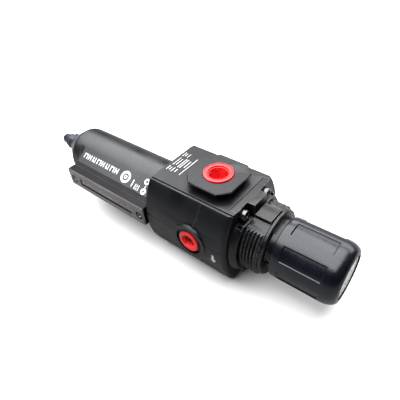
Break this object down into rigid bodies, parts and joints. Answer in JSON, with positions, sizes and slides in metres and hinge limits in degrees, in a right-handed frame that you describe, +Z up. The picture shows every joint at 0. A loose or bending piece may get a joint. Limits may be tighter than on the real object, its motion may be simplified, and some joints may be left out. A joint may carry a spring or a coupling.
{
  "type": "filter regulator",
  "caption": "Compressed air filter regulator: metal bowl with sight glass and drain, cast body with plugged ports, threaded bonnet and ribbed adjusting knob.",
  "frame": {"origin": "centre of the outlet flange's face, which the part stands on", "axes": "+X along the long axis from the drain to the knob, +Z up along the flow axis from outlet to inlet, -Y the plugged gauge side"},
  "size_m": [0.255, 0.0631, 0.0688],
  "materials": {
    "body_paint": "satin powder coat on cast zinc alloy",
    "bowl_paint": "satin powder coat on cast aluminium",
    "frame_paint": "satin powder coat",
    "bonnet_plastic": "moulded glass-filled plastic",
    "knob_plastic": "moulded satin plastic",
    "label_print": "printed label",
    "red_plastic": "soft moulded plastic",
    "drain_plastic": "moulded plastic",
    "inner_plastic": "moulded acetal",
    "filter_white": "porous sintered plastic",
    "seal_rubber": "nitrile rubber",
    "sight_clear": "clear moulded nylon",
    "indicator_red": "coloured strip",
    "screw_steel": "zinc plated steel",
    "screw_black": "blackened steel",
    "turned_steel": "turned steel",
    "spring_steel": "spring steel",
    "brass_parts": "turned brass",
    "plate_aluminium": "pressed aluminium"
  },
  "bodies": {
    "regulator_body": {"body": "body_paint", "inlet_port_plug": "red_plastic", "outlet_port_plug": "red_plastic", "front_gauge_plug": "red_plastic", "bonnet": "bonnet_plastic", "bonnet_screws": "screw_steel", "thrust_washer": "brass_parts", "regulating_spring": "spring_steel", "valve_seat": "brass_parts", "valve_guide": "inner_plastic", "valve_stem_seal": "seal_rubber", "valve_spring": "spring_steel", "swirl_vane": "inner_plastic", "element_gaskets": "seal_rubber", "filter_element": "filter_white", "baffle": "inner_plastic", "baffle_stud": "inner_plastic"},
    "adjusting_gear": {"adjusting_screw": "turned_steel", "screw_clip": "spring_steel", "knob_detent_ring": "seal_rubber"},
    "knob_set": {"knob": "knob_plastic", "knob_label": "label_print"},
    "spring_button_set": {"spring_button": "brass_parts"},
    "diaphragm_set": {"diaphragm": "seal_rubber", "diaphragm_plate": "plate_aluminium", "relief_seat": "brass_parts"},
    "valve_set": {"valve": "brass_parts", "valve_pad": "seal_rubber"},
    "bowl_set": {"bowl": "bowl_paint", "bowl_o_ring": "seal_rubber", "level_strip": "indicator_red", "sight_gasket": "seal_rubber", "sight_lens": "sight_clear", "sight_frame": "frame_paint", "sight_screws": "screw_black", "drain_body": "drain_plastic", "drain_gasket": "seal_rubber", "drain_nut": "brass_parts"},
    "drain_knob_set": {"drain_knob": "drain_plastic"},
    "drain_stem_set": {"drain_stem": "inner_plastic", "drain_seal": "seal_rubber"}
  },
  "joints": [
    {"name": "knob_turn", "type": "hinge", "parent": "regulator_body", "child": "adjusting_gear", "pos_m": [0.055, 0, 0.034], "axis": [-1, 0, 0], "range_deg": [0, 1800]},
    {"name": "knob_lock", "type": "slide", "parent": "adjusting_gear", "child": "knob_set", "axis": [-1, 0, 0], "range_m": [0, 0.0035]},
    {"name": "button_travel", "type": "slide", "parent": "regulator_body", "child": "spring_button_set", "axis": [-1, 0, 0], "range_m": [0, 0.0075], "deforming": ["regulating_spring"]},
    {"name": "diaphragm_travel", "type": "slide", "parent": "regulator_body", "child": "diaphragm_set", "axis": [-1, 0, 0], "range_m": [0, 0.0015], "stiffness_N_per_m": 2000, "springref_m": -0.0005, "deforming": ["diaphragm"]},
    {"name": "valve_travel", "type": "slide", "parent": "regulator_body", "child": "valve_set", "axis": [-1, 0, 0], "range_m": [0, 0.0015], "deforming": ["valve_spring"]},
    {"name": "bowl_turn", "type": "hinge", "parent": "regulator_body", "child": "bowl_set", "pos_m": [-0.0375, 0, 0.034], "axis": [1, 0, 0], "range_deg": [0, 45]},
    {"name": "drain_turn", "type": "hinge", "parent": "bowl_set", "child": "drain_knob_set", "pos_m": [-0.158, 0, 0.034], "axis": [1, 0, 0], "range_deg": [0, 360]},
    {"name": "drain_travel", "type": "slide", "parent": "bowl_set", "child": "drain_stem_set", "axis": [1, 0, 0], "range_m": [0, 0.0015]}
  ],
  "couplings": [
    {"joint": "button_travel", "follows": "knob_turn", "m_per_rad": 0.00023873},
    {"joint": "valve_travel", "follows": "diaphragm_travel", "ratio": 1},
    {"joint": "drain_travel", "follows": "drain_turn", "m_per_rad": 0.00023873}
  ]
}
